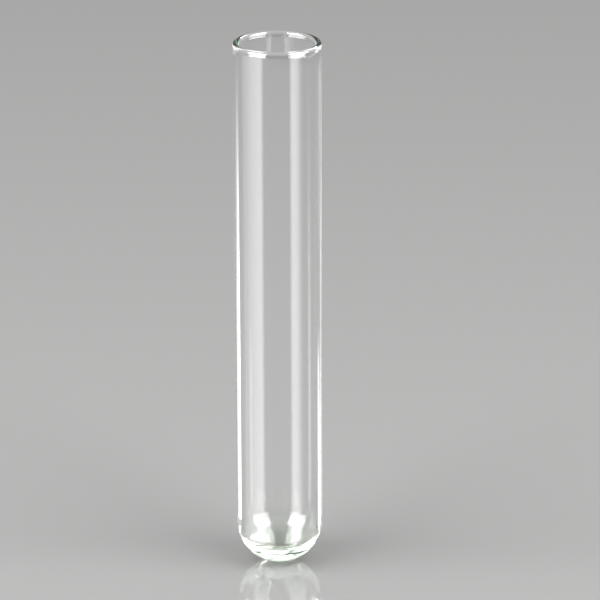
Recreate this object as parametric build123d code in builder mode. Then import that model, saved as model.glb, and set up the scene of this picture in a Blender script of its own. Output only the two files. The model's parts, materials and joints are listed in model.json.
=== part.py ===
"""Rimless round-bottomed test tube, 16 x 100 mm, drawn from one piece of clear glass.

Frame: millimetres, +Z up along the tube's axis, origin at the lowest point of the round base.
The tube is a single piece of glass, so it is a single solid: a thin straight wall, a base that is
a half sphere outside and flatter inside, where the molten glass gathered, and a mouth whose cut
edge was melted round in a flame.
"""

import os

from build123d import *

# Driving dimensions of the standard size
OUTER_DIAMETER = 16.0
OVERALL_LENGTH = 100.0
WALL = 0.9
BASE_THICKNESS = 2.8  # on the axis, where the molten end gathered when it was closed
INNER_BASE_DEPTH = 3.6  # from the end of the straight bore down to the flat inside
INNER_FLAT_RADIUS = 1.5  # the gathered glass settled level in the middle
LIP_THICKNESS = 1.1  # the flame draws the edge back into a bead thicker than the wall
LIP_FLARE = 0.05  # how far the bead stands outside the straight wall
LIP_BLEND = 0.7  # length of wall that thickens into the bead

# Worked out from the driving dimensions
outer_radius = OUTER_DIAMETER / 2
inner_radius = outer_radius - WALL
lip_radius = LIP_THICKNESS / 2
lip_outer_radius = outer_radius + LIP_FLARE
lip_inner_radius = lip_outer_radius - LIP_THICKNESS
lip_centre_z = OVERALL_LENGTH - lip_radius
wall_top_z = lip_centre_z - LIP_BLEND
bore_bottom_z = BASE_THICKNESS + INNER_BASE_DEPTH

UP = (0, 1)
DOWN = (0, -1)

with BuildPart() as glass_tube:
    with BuildSketch(Plane.XZ):
        with BuildLine():
            outer_base = CenterArc((0, outer_radius), outer_radius, -90, 90)
            outer_wall = Line(outer_base @ 1, (outer_radius, wall_top_z))
            lip_outside = Spline(outer_wall @ 1, (lip_outer_radius, lip_centre_z), tangents=[UP, UP])
            lip = CenterArc((lip_outer_radius - lip_radius, lip_centre_z), lip_radius, 0, 180)
            lip_inside = Spline(lip @ 1, (inner_radius, wall_top_z), tangents=[DOWN, DOWN])
            Line(lip_inside @ 1, (inner_radius, bore_bottom_z))
            EllipticalCenterArc(
                (INNER_FLAT_RADIUS, bore_bottom_z),
                inner_radius - INNER_FLAT_RADIUS,
                INNER_BASE_DEPTH,
                start_angle=270,
                arc_size=90,
            )
            inner_flat = Line((INNER_FLAT_RADIUS, BASE_THICKNESS), (0, BASE_THICKNESS))
            Line(inner_flat @ 1, outer_base @ 0)
        make_face()
    revolve(axis=Axis.Z)

glass_tube.part.label = "glass_tube"

os.makedirs("parts", exist_ok=True)
export_step(glass_tube.part, "parts/glass_tube.step")

print("mouth bore: radius", inner_radius, "length", wall_top_z - bore_bottom_z)
print("outer wall: radius", outer_radius, "length", wall_top_z - outer_radius)
print("narrowest mouth radius", lip_inner_radius)
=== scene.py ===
"""Clear glass test tube standing on a plain pale floor in soft studio light.

Metres, in the CAD model's frame: +Z up the tube's axis, origin at the lowest point of the base.
The tube is drawn again as one closed lathed skin, fine enough for glass, with the small
unevenness that drawn and flame-worked glass has. It stands for the CAD node glass_tube.
"""

import json
import math

import bpy
from mathutils import Matrix, Vector


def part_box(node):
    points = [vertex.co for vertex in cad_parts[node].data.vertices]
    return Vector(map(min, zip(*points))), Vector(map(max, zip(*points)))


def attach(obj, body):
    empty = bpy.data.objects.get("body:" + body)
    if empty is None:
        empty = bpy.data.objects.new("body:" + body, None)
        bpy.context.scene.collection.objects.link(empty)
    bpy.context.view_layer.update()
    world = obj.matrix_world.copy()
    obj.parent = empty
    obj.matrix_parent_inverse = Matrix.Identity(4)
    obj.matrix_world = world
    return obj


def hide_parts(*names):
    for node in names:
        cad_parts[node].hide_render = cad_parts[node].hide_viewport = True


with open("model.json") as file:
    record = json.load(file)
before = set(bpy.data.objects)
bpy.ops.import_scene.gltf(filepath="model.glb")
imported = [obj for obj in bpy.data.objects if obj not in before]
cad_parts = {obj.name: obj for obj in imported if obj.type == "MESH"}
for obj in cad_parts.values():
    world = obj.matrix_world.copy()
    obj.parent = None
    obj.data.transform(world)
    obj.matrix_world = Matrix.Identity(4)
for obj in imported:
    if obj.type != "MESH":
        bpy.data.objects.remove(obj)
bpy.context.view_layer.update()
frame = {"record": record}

MM = 0.001

# Tube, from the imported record
NODE = "glass_tube"
low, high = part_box(NODE)
mount_dims = {mount["name"]: mount["dims"] for mount in frame["record"]["mounts"]}
OUTER_RADIUS = mount_dims["outer_wall"]["r_mm"] * MM
BORE_RADIUS = mount_dims["mouth_bore"]["r_mm"] * MM
BASE_Z = low[2]
RIM_Z = high[2]
WALL_TOP_Z = BASE_Z + OUTER_RADIUS + mount_dims["outer_wall"]["length_mm"] * MM
BORE_BOTTOM_Z = WALL_TOP_Z - mount_dims["mouth_bore"]["length_mm"] * MM

# Flame-worked ends
BASE_THICKNESS = 2.8 * MM
INNER_FLAT_RADIUS = 1.5 * MM
LIP_RADIUS = 0.55 * MM
LIP_OUTER_RADIUS = OUTER_RADIUS + 0.05 * MM

# Unevenness of hand-finished glass
INNER_BASE_RIPPLE = 0.12 * MM
INNER_BASE_LOBES = ((5, 0.5, 0.4), (11, 0.35, 1.9), (17, 0.15, 3.1))  # waves around, share, start angle
SEAL_RADIUS = 2.7 * MM  # a low lump inside, where the end was pinched shut
SEAL_HEIGHT = 0.5 * MM
SEAL_SLOPE = 0.45 * MM  # how far the lump's edge takes to rise
SEAL_LOBES = ((7, 0.06, 0.9), (12, 0.04, 2.2), (3, 0.05, 0.3))
WALL_WANDER = 0.012 * MM  # how far the bore strays from a true circle
RIM_WAVE = 0.06 * MM  # the melted edge is not perfectly level

# Soda-lime glass
GLASS_IOR = 1.52
ABSORPTION_COLOUR = (0.59, 0.71, 0.62, 1.0)
ABSORPTION_DENSITY = 30.0
BASE_TINT = (0.93, 0.975, 0.90, 1.0)  # a stand-in for the green of the thick base
SMEAR_SCALE = 60.0
SMEAR_START, SMEAR_FULL = 0.45, 0.8  # noise values between which a greasy patch builds up
SMEAR_ROUGHNESS = 0.035
DRAW_LINE_SCALE = (900.0, 900.0, 12.0)  # fine across the wall, long up the tube
DRAW_LINE_STRENGTH = 0.12
DRAW_LINE_DEPTH = 0.02 * MM

# Setting
FLOOR_HALF = 3.0
FLOOR_COLOUR = (0.66, 0.66, 0.655, 1.0)
FLOOR_ROUGHNESS = 0.07
ROOM_COLOUR = (0.34, 0.34, 0.34, 1.0)
CAMERA_SENSOR = 36.0
CAMERA_LENS = 267.9
CAMERA_SPOT = (0.00394, -0.7741, 0.31314)
CAMERA_PITCH = math.radians(18.711)
CAMERA_ROLL = math.radians(-0.199)
LIGHT_BOUNCES = 64

# Fineness of the mesh
SEGMENTS = 256
BASE_STEPS = 56
WALL_STEPS = 40
BLEND_STEPS = 8
LIP_STEPS = 28
FLAT_STEPS = 10

# What a light path must have done so far to show a lamp that lights only the glass.
# Mirrored: a mirror-like bounce and no diffuse one, so the lamp isn't seen straight through the tube.
# A bounce in the polished floor counts as mirror-like too.
MIRRORED = (("Diffuse Depth", "LESS_THAN", 0.5), ("Glossy Depth", "GREATER_THAN", 0.5))
# Also at most two glass surfaces crossed, so the far wall mirrors nothing
FRONT_WALL = MIRRORED + (("Transmission Depth", "LESS_THAN", 2.5),)
# Also one surface at least, so only what runs inside the glass shows it
THICK_GLASS = FRONT_WALL + (("Transmission Depth", "GREATER_THAN", 0.5),)

# How far a lamp fades in from its left, right and top edges, as shares of its size
SOFT_EDGES = (0.3, 0.3, 0.3)
CRISP_EDGES = (0.05, 0.05, 0.05)


def ease(share):
    """Smooth 0 to 1."""
    return share * share * (3 - 2 * share)


def tube_profile():
    """Radius, height and kind of each point from the outer base, over the lip, to the inner base."""
    outer_centre_z = BASE_Z + OUTER_RADIUS
    lip_z = RIM_Z - LIP_RADIUS
    lip_centre_radius = LIP_OUTER_RADIUS - LIP_RADIUS
    lip_inner_radius = LIP_OUTER_RADIUS - 2 * LIP_RADIUS
    inner_depth = BORE_BOTTOM_Z - (BASE_Z + BASE_THICKNESS)
    points = []

    for step in range(BASE_STEPS + 1):
        angle = -math.pi / 2 + step * math.pi / 2 / BASE_STEPS
        points.append(
            (OUTER_RADIUS * math.cos(angle), outer_centre_z + OUTER_RADIUS * math.sin(angle), "outside")
        )
    for step in range(1, WALL_STEPS + 1):
        share = step / WALL_STEPS
        points.append((OUTER_RADIUS, outer_centre_z + (WALL_TOP_Z - outer_centre_z) * share, "outside"))
    for step in range(1, BLEND_STEPS):
        share = step / BLEND_STEPS
        radius = OUTER_RADIUS + (LIP_OUTER_RADIUS - OUTER_RADIUS) * ease(share)
        points.append((radius, WALL_TOP_Z + (lip_z - WALL_TOP_Z) * share, "lip"))
    for step in range(LIP_STEPS + 1):
        angle = step * math.pi / LIP_STEPS
        points.append(
            (lip_centre_radius + LIP_RADIUS * math.cos(angle), lip_z + LIP_RADIUS * math.sin(angle), "lip")
        )
    for step in range(1, BLEND_STEPS):
        share = step / BLEND_STEPS
        radius = lip_inner_radius + (BORE_RADIUS - lip_inner_radius) * ease(share)
        points.append((radius, lip_z + (WALL_TOP_Z - lip_z) * share, "lip"))
    for step in range(WALL_STEPS):
        share = step / WALL_STEPS
        points.append((BORE_RADIUS, WALL_TOP_Z + (BORE_BOTTOM_Z - WALL_TOP_Z) * share, "bore"))
    for step in range(BASE_STEPS + 1):
        angle = -step * math.pi / 2 / BASE_STEPS
        radius = INNER_FLAT_RADIUS + (BORE_RADIUS - INNER_FLAT_RADIUS) * math.cos(angle)
        points.append((radius, BORE_BOTTOM_Z + inner_depth * math.sin(angle), "inner_base"))
    for step in range(1, FLAT_STEPS + 1):
        points.append((INNER_FLAT_RADIUS * (1 - step / FLAT_STEPS), BASE_Z + BASE_THICKNESS, "inner_base"))
    return points


def lobed(lobes, around):
    """Sum of a few waves around the axis."""
    return sum(share * math.sin(count * around + start) for count, share, start in lobes)


def uneven(radius, z, kind, around):
    """One profile point at one angle, moved by the small unevenness of real glass."""
    if kind == "inner_base":
        depth_share = min(1.0, (BORE_BOTTOM_Z - z) / (BORE_BOTTOM_Z - BASE_Z - BASE_THICKNESS))
        ring = math.sin(math.pi * min(1.0, radius / BORE_RADIUS))
        z += INNER_BASE_RIPPLE * lobed(INNER_BASE_LOBES, around) * ring * ease(depth_share)
        seal_edge = SEAL_RADIUS * (1 + lobed(SEAL_LOBES, around))
        z += SEAL_HEIGHT * (1 - ease(min(1.0, max(0.0, (radius - seal_edge) / SEAL_SLOPE))))
    if kind in ("bore", "inner_base"):
        along = (z - BORE_BOTTOM_Z) / (WALL_TOP_Z - BORE_BOTTOM_Z)
        fade = ease(min(1.0, radius / BORE_RADIUS))
        wander = 0.6 * math.sin(2 * around + 1.1 + 2.0 * along) + 0.4 * math.sin(3 * around + 5.0 * along)
        radius += WALL_WANDER * wander * fade
    if kind == "lip":
        height = max(0.0, (z - WALL_TOP_Z) / (RIM_Z - WALL_TOP_Z))
        drop = 0.5 * (1 + 0.7 * math.sin(2 * around + 0.5) + 0.3 * math.sin(5 * around + 2.0))
        z -= RIM_WAVE * drop * ease(height)
    return radius, z


def lathe_tube(name):
    """The whole tube as one closed skin."""
    verts, rings, faces = [], [], []
    for radius, z, kind in tube_profile():
        if radius < 1e-9:
            rings.append([len(verts)])
            verts.append((0.0, 0.0, uneven(radius, z, kind, 0.0)[1]))
            continue
        ring = []
        for segment in range(SEGMENTS):
            around = 2 * math.pi * segment / SEGMENTS
            r, height = uneven(radius, z, kind, around)
            ring.append(len(verts))
            verts.append((r * math.cos(around), r * math.sin(around), height))
        rings.append(ring)
    for lower, upper in zip(rings, rings[1:]):
        for segment in range(SEGMENTS):
            after = (segment + 1) % SEGMENTS
            if len(lower) == 1:
                faces.append((lower[0], upper[after], upper[segment]))
            elif len(upper) == 1:
                faces.append((lower[segment], lower[after], upper[0]))
            else:
                faces.append((lower[segment], lower[after], upper[after], upper[segment]))
    mesh = bpy.data.meshes.new(name)
    mesh.from_pydata(verts, [], faces)
    mesh.update()
    for polygon in mesh.polygons:
        polygon.use_smooth = True
    tube = bpy.data.objects.new(name, mesh)
    bpy.context.scene.collection.objects.link(tube)
    return tube


def glass_material():
    """Clear soda-lime glass: faint draw lines, slightly greasy patches, green in its thick parts."""
    material = bpy.data.materials.new("clear_drawn_glass")
    material.use_nodes = True
    nodes, links = material.node_tree.nodes, material.node_tree.links
    shader = nodes["Principled BSDF"]
    output = nodes["Material Output"]
    shader.inputs["Transmission Weight"].default_value = 1.0
    shader.inputs["IOR"].default_value = GLASS_IOR

    absorption = nodes.new("ShaderNodeVolumeAbsorption")
    absorption.inputs["Color"].default_value = ABSORPTION_COLOUR
    absorption.inputs["Density"].default_value = ABSORPTION_DENSITY
    links.new(absorption.outputs["Volume"], output.inputs["Volume"])

    place = nodes.new("ShaderNodeTexCoord")

    height = nodes.new("ShaderNodeSeparateXYZ")
    base_share = nodes.new("ShaderNodeMapRange")
    base_share.interpolation_type = "SMOOTHSTEP"
    base_share.inputs["From Min"].default_value = BASE_Z + OUTER_RADIUS
    base_share.inputs["From Max"].default_value = BASE_Z + BASE_THICKNESS
    tint = nodes.new("ShaderNodeMix")
    tint.data_type = "RGBA"
    tint.inputs["A"].default_value = (1.0, 1.0, 1.0, 1.0)
    tint.inputs["B"].default_value = BASE_TINT
    links.new(place.outputs["Object"], height.inputs["Vector"])
    links.new(height.outputs["Z"], base_share.inputs["Value"])
    links.new(base_share.outputs["Result"], tint.inputs["Factor"])
    links.new(tint.outputs["Result"], shader.inputs["Base Color"])

    smears = nodes.new("ShaderNodeTexNoise")
    smears.inputs["Scale"].default_value = SMEAR_SCALE
    smears.inputs["Detail"].default_value = 3.0
    gloss = nodes.new("ShaderNodeMapRange")
    gloss.inputs["From Min"].default_value = SMEAR_START
    gloss.inputs["From Max"].default_value = SMEAR_FULL
    gloss.inputs["To Min"].default_value = 0.0
    gloss.inputs["To Max"].default_value = SMEAR_ROUGHNESS
    links.new(place.outputs["Object"], smears.inputs["Vector"])
    links.new(smears.outputs["Fac"], gloss.inputs["Value"])
    links.new(gloss.outputs["Result"], shader.inputs["Roughness"])

    stretch = nodes.new("ShaderNodeMapping")
    stretch.inputs["Scale"].default_value = DRAW_LINE_SCALE
    draw_lines = nodes.new("ShaderNodeTexNoise")
    draw_lines.inputs["Scale"].default_value = 1.0
    draw_lines.inputs["Detail"].default_value = 2.0
    bump = nodes.new("ShaderNodeBump")
    bump.inputs["Strength"].default_value = DRAW_LINE_STRENGTH
    bump.inputs["Distance"].default_value = DRAW_LINE_DEPTH
    links.new(place.outputs["Object"], stretch.inputs["Vector"])
    links.new(stretch.outputs["Vector"], draw_lines.inputs["Vector"])
    links.new(draw_lines.outputs["Fac"], bump.inputs["Height"])
    links.new(bump.outputs["Normal"], shader.inputs["Normal"])
    return material


def floor_material():
    """Plain pale board, polished enough to mirror the base."""
    material = bpy.data.materials.new("pale_satin_floor")
    material.use_nodes = True
    shader = material.node_tree.nodes["Principled BSDF"]
    shader.inputs["Base Color"].default_value = FLOOR_COLOUR
    shader.inputs["Roughness"].default_value = FLOOR_ROUGHNESS
    return material


def pale_floor():
    """A large flat floor that the base touches."""
    mesh = bpy.data.meshes.new("floor")
    signs = ((-1, -1), (1, -1), (1, 1), (-1, 1))
    corners = [(x * FLOOR_HALF, y * FLOOR_HALF, BASE_Z) for x, y in signs]
    mesh.from_pydata(corners, [], [(0, 1, 2, 3)])
    floor = bpy.data.objects.new("floor", mesh)
    floor.data.materials.append(floor_material())
    bpy.context.scene.collection.objects.link(floor)


def lamp_node(lamp, kind, **settings):
    """A new node in a lamp's tree, with its settings."""
    node = lamp.node_tree.nodes.new(kind)
    for setting, value in settings.items():
        setattr(node, setting, value)
    return node


def dimmed_edges(lamp, left, right, top):
    """Factors that fade a lamp towards its left, right and top edges, over the given shares of its size."""
    links = lamp.node_tree.links
    place = lamp_node(lamp, "ShaderNodeNewGeometry")
    split = lamp_node(lamp, "ShaderNodeSeparateXYZ")
    links.new(place.outputs["Parametric"], split.inputs["Vector"])
    factors = []
    for axis, start, end in (("X", 0.0, left), ("X", 1.0, 1.0 - right), ("Y", 1.0, 1.0 - top)):
        if start == end:
            continue
        fade = lamp_node(lamp, "ShaderNodeMapRange", interpolation_type="SMOOTHSTEP")
        fade.inputs["From Min"].default_value = start
        fade.inputs["From Max"].default_value = end
        links.new(split.outputs[axis], fade.inputs["Value"])
        factors.append(fade.outputs["Result"])
    return factors


def path_limits(lamp, limits):
    """Factors that show a lamp only to light paths that pass every test."""
    path = lamp_node(lamp, "ShaderNodeLightPath")
    factors = []
    for depth, operation, count in limits:
        test = lamp_node(lamp, "ShaderNodeMath", operation=operation)
        test.inputs[1].default_value = count
        lamp.node_tree.links.new(path.outputs[depth], test.inputs[0])
        factors.append(test.outputs["Value"])
    return factors


def softbox(name, azimuth, elevation, distance, width, tall, radiance, aim_z):
    """A rectangular lamp facing a point on the tube's axis. Azimuth is in degrees right of the front."""
    lamp = bpy.data.lights.new(name, "AREA")
    lamp.shape = "RECTANGLE"
    lamp.size = width
    lamp.size_y = tall
    lamp.energy = radiance * math.pi * width * tall
    box = bpy.data.objects.new(name, lamp)
    bpy.context.scene.collection.objects.link(box)
    turn, rise = math.radians(azimuth), math.radians(elevation)
    aim = Vector((0.0, 0.0, aim_z))
    away = Vector((math.sin(turn) * math.cos(rise), -math.cos(turn) * math.cos(rise), math.sin(rise)))
    box.location = aim + away * distance
    box.rotation_euler = (-away).to_track_quat("-Z", "Y").to_euler()
    box.visible_camera = False
    return box


def glass_lamp(glass, limits, edges, name, **placing):
    """A softbox that lights nothing but the glass."""
    box = softbox(name, **placing)
    lamp = box.data
    lamp.use_nodes = True
    strength, *others = path_limits(lamp, limits) + dimmed_edges(lamp, *edges)
    for factor in others:
        both = lamp_node(lamp, "ShaderNodeMath", operation="MULTIPLY")
        lamp.node_tree.links.new(strength, both.inputs[0])
        lamp.node_tree.links.new(factor, both.inputs[1])
        strength = both.outputs["Value"]
    lamp.node_tree.links.new(strength, lamp.node_tree.nodes["Emission"].inputs["Strength"])
    box.light_linking.receiver_collection = glass


def room_light():
    """A dim even room and two soft boxes, which light the floor as well as the glass."""
    world = bpy.data.worlds.new("dim_room")
    bpy.context.scene.world = world
    world.use_nodes = True
    world.node_tree.nodes["Background"].inputs["Color"].default_value = ROOM_COLOUR
    overhead = {"elevation": 45.0, "distance": 0.9, "tall": 0.70, "radiance": 2.1, "aim_z": 0.03}
    softbox("left_box", azimuth=-62.0, width=0.75, **overhead)
    softbox("right_box", azimuth=58.0, width=0.70, **overhead)


def base_glow(glass):
    """Broad boxes behind the tube, and a glow under it, that fill the thick base with light."""
    low_box = {"elevation": 12.0, "distance": 0.9, "tall": 0.70, "aim_z": 0.01}
    glow = (glass, THICK_GLASS, SOFT_EDGES)
    glass_lamp(*glow, "back_box", azimuth=180.0, width=1.50, radiance=1.6, **low_box)
    glass_lamp(*glow, "back_left_box", azimuth=-116.0, width=1.20, radiance=1.2, **low_box)
    glass_lamp(*glow, "back_right_box", azimuth=116.0, width=1.20, radiance=1.6, **low_box)
    # It faces straight up, and the negative distance lifts it just off the floor
    under = {"azimuth": 0.0, "elevation": -90.0, "distance": -0.0002, "aim_z": 0.0}
    glass_lamp(*glow, "under_glow", width=0.05, tall=0.05, radiance=1.3, **under)


def base_highlights(glass):
    """Bright boxes that the base mirrors as solid white patches."""
    shine = (glass, MIRRORED, CRISP_EDGES)
    upright = {"elevation": 0.0, "distance": 0.6, "tall": 0.94, "radiance": 20.0, "aim_z": 0.57}
    high_box = {"elevation": 42.0, "distance": 0.9, "tall": 0.35, "radiance": 20.0, "aim_z": 0.01}
    glass_lamp(*shine, "left_shine", azimuth=-59.0, width=0.64, **upright)
    glass_lamp(*shine, "right_shine", azimuth=60.0, width=0.62, **upright)
    glass_lamp(*shine, "back_shine", azimuth=146.0, width=0.25, **high_box)


def wall_streaks(glass):
    """Tall panels close to the wall, each mirrored as a streak with one sharp and one faded side."""
    upright = {"elevation": 0.0, "tall": 0.098, "aim_z": 0.0495}
    left_edges = (1.0, 0.10, 0.0)
    right_edges = (0.12, 0.6, 0.0)
    glass_lamp(
        glass, FRONT_WALL, left_edges, "left_panel",
        azimuth=-53.0, distance=0.0107, width=0.0109, radiance=3.7, **upright,
    )
    glass_lamp(
        glass, FRONT_WALL, right_edges, "right_panel",
        azimuth=35.6, distance=0.0117, width=0.0055, radiance=3.4, **upright,
    )


def edge_lines(glass):
    """Narrow panels that draw the bright lines along the sides of the tube."""
    upright = {"elevation": 0.0, "tall": 0.094, "aim_z": 0.048}
    half_height = {"elevation": 0.0, "tall": 0.044, "aim_z": 0.0222}
    glass_lamp(
        glass, MIRRORED, (0.3, 0.3, 0.8), "left_line",
        azimuth=-123.0, distance=0.0245, width=0.0070, radiance=2.6, **upright,
    )
    glass_lamp(
        glass, MIRRORED, (0.2, 0.2, 0.5), "right_line",
        azimuth=115.5, distance=0.0169, width=0.0027, radiance=2.4, **half_height,
    )
    glass_lamp(
        glass, MIRRORED, (0.2, 0.2, 0.1), "right_edge",
        azimuth=141.0, distance=0.0237, width=0.0020, radiance=1.5, **upright,
    )


def studio_light(tube):
    """Plain soft light, and lamps that only the glass sees."""
    glass = bpy.data.collections.new("lit_by_panels")
    glass.objects.link(tube)
    room_light()
    base_glow(glass)
    base_highlights(glass)
    wall_streaks(glass)
    edge_lines(glass)


def add_camera():
    """Long lens, looking about 19 degrees down on the tube."""
    camera = bpy.data.cameras.new("camera")
    camera.sensor_width = CAMERA_SENSOR
    camera.lens = CAMERA_LENS
    eye = bpy.data.objects.new("camera", camera)
    bpy.context.scene.collection.objects.link(eye)
    bpy.context.scene.camera = eye
    tilt = Matrix.Rotation(math.pi / 2 - CAMERA_PITCH, 4, "X")
    roll = Matrix.Rotation(CAMERA_ROLL, 4, "Z")
    eye.matrix_world = Matrix.Translation(CAMERA_SPOT) @ tilt @ roll


tube = lathe_tube("drawn_glass_body")
tube.data.materials.append(glass_material())
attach(tube, "root")
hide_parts(NODE)

pale_floor()
studio_light(tube)
add_camera()
bpy.context.scene.view_settings.view_transform = "Standard"
# Light runs a long way round inside the melted edge before it comes out
for bounces in ("max_bounces", "transmission_bounces", "glossy_bounces"):
    setattr(bpy.context.scene.cycles, bounces, LIGHT_BOUNCES)
